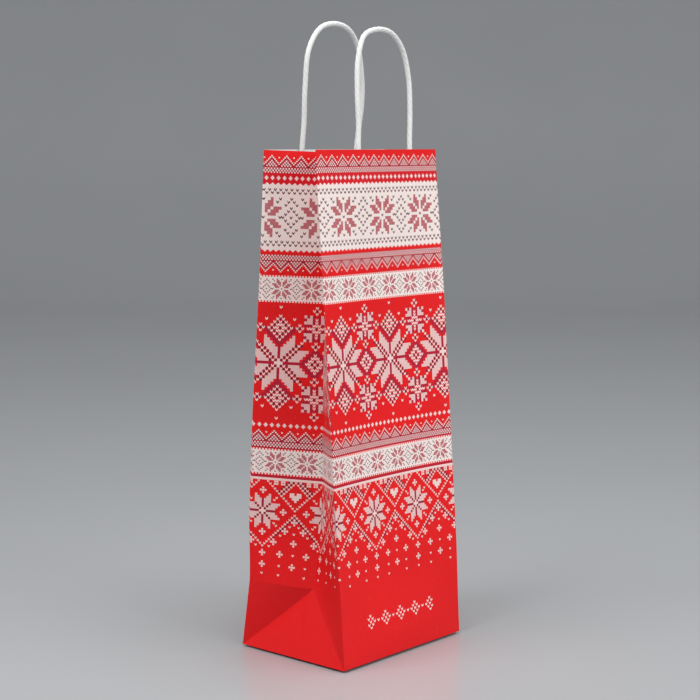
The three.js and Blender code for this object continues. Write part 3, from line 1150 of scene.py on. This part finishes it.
def twisted_cord(name, path, inward):
    """A closed tube along the path, with the twisted ridges as its surface."""
    mesh = bmesh.new()
    uv = mesh.loops.layers.uv.new("sheet")
    rings = []
    run = 0.0
    for k, centre in enumerate(path):
        before, after = path[max(0, k - 1)], path[min(len(path) - 1, k + 1)]
        across = (after - before).normalized().cross(inward).normalized()
        if k:
            run += (centre - path[k - 1]).length
        ring = twisted_section(run, centre, across, inward)
        rings.append([mesh.verts.new(point) for point in ring])
    for k in range(len(rings) - 1):
        for n in range(CORD_SECTION):
            m = (n + 1) % CORD_SECTION
            face = mesh.faces.new([rings[k][n], rings[k][m], rings[k + 1][m], rings[k + 1][n]])
            face.smooth = True
            corners = ((n, k), (n + 1, k), (n + 1, k + 1), (n, k + 1))
            for loop, (a, b) in zip(face.loops, corners):
                loop[uv].uv = (a / CORD_SECTION * 0.01, b * CORD_STEP)
    mesh.faces.new(rings[0])
    mesh.faces.new(list(reversed(rings[-1])))
    bmesh.ops.recalc_face_normals(mesh, faces=mesh.faces)
    data = bpy.data.meshes.new(name)
    mesh.to_mesh(data)
    mesh.free()
    piece = bpy.data.objects.new(name, data)
    bpy.context.scene.collection.objects.link(piece)
    return piece


def build_handle(wall, centre_line, material):
    """One twisted paper cord, from one glued end round the loop to the other."""
    axes = front_axes if wall == "front" else back_axes
    foot, up, inward = axes(PANEL_LENGTH)
    left, right = centre_line[0][0], centre_line[-1][0]
    inner = [(left, -GRIP_LENGTH / MM), (left, -STRAIGHT_BELOW)]
    outer = [(right, -STRAIGHT_BELOW), (right, -GRIP_LENGTH / MM)]
    line = [
        foot + Vector((x * MM, 0, 0)) + up * (y * MM) + inward * CORD_DEPTH
        for x, y in inner + centre_line + outer
    ]
    path = evenly(catmull_rom(line, 24), CORD_STEP)
    piece = twisted_cord(f"{wall}_cord", path, inward)
    piece.data.materials.append(material)
    hinge = foot + up * HINGE_RISE + inward * CORD_DEPTH
    reach = 3 * MM
    hinge - up * reach
    hinge + up * reach
    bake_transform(piece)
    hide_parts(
        f"{wall}_handle_loop", f"{wall}_handle_left_end", f"{wall}_handle_right_end"
    )


# ---------------------------------------------------------------- studio


def look_at(thing, target):
    thing.rotation_euler = (Vector(target) - thing.location).to_track_quat("-Z", "Y").to_euler()


CAMERA_PLACE = (-0.9115, -0.8002, 0.3630)
CAMERA_YAW = 48.636  # degrees, from +Y towards +X
CAMERA_PITCH = 6.98  # degrees down
CAMERA_LENS = 86.6
SWEEP_YAW = 48.6
FLOOR_DROP = 1.6 * MM  # leaves a dark line under the base, as under any folded edge


def add_camera():
    """A long lens at the height of the rim, towards the front panel and the left gusset."""
    data = bpy.data.cameras.new("camera")
    data.lens = CAMERA_LENS
    data.sensor_width = 36
    data.clip_start = 0.05
    camera = bpy.data.objects.new("camera", data)
    camera.location = CAMERA_PLACE
    pitch, yaw = math.radians(CAMERA_PITCH), math.radians(CAMERA_YAW)
    camera.rotation_euler = (math.pi / 2 - pitch, 0, -yaw)
    bpy.context.scene.collection.objects.link(camera)
    bpy.context.scene.camera = camera


def add_light(name, place, target, size, power):
    """A square soft light, its side in metres and its power in watts."""
    data = bpy.data.lights.new(name, "AREA")
    data.size = size
    data.energy = power
    light = bpy.data.objects.new(name, data)
    light.location = place
    light.visible_camera = False
    look_at(light, target)
    bpy.context.scene.collection.objects.link(light)


def add_sweep():
    """A seamless paper sweep: flat under the bag, curving up far behind it."""
    behind, radius, wall_height, half_width = 2.4, 1.3, 2.6, 14.0
    yaw = math.radians(SWEEP_YAW)
    ahead = Vector((math.sin(yaw), math.cos(yaw), 0))
    aside = Vector((ahead.y, -ahead.x, 0))
    profile = [(-14.0, 0.0), (-5.0, 0.0), (0.0, 0.0), (behind, 0.0)]
    for share in steps(16)[1:]:
        angle = math.pi / 2 * share
        profile.append((behind + radius * math.sin(angle), radius * (1 - math.cos(angle))))
    profile.append((behind + radius, wall_height))
    grid = []
    for y, z in profile:
        row = []
        for s in steps(6):
            place = aside * lerp(-half_width, half_width, s) + ahead * y
            place.z = z - FLOOR_DROP
            row.append((place, (s, y)))
        grid.append(row)
    sheet = Sheet("studio_sweep").add_grid(grid)
    floor = sheet.finish([studio_floor()], thickness=1 * MM, sharp=60)


def add_studio():
    add_sweep()
    world = bpy.data.worlds.new("studio")
    bpy.context.scene.world = world
    world.use_nodes = True
    background = world.node_tree.nodes["Background"]
    background.inputs["Color"].default_value = (0.93, 0.94, 0.96, 1)
    background.inputs["Strength"].default_value = 0.60
    add_light("top", (0.0, -0.35, 1.75), (0, -0.05, 0.2), 1.2, 17)
    add_light("front", (0.15, -1.9, 0.9), (0, 0, 0.2), 1.2, 15)
    add_light("left", (-0.60, 0.10, 1.00), (0, 0, 0.25), 0.5, 5.2)
    bpy.context.scene.view_settings.view_transform = "Standard"


add_camera()
add_studio()
printed, plain, twisted = printed_paper(), plain_paper(), twisted_paper()
build_body(printed, plain)
build_base(printed, plain)
build_seam(printed, plain)
for wall, line in (("front", FRONT_HANDLE), ("back", BACK_HANDLE)):
    build_patch(wall, plain)
    build_handle(wall, line, twisted)

bpy.context.view_layer.update()
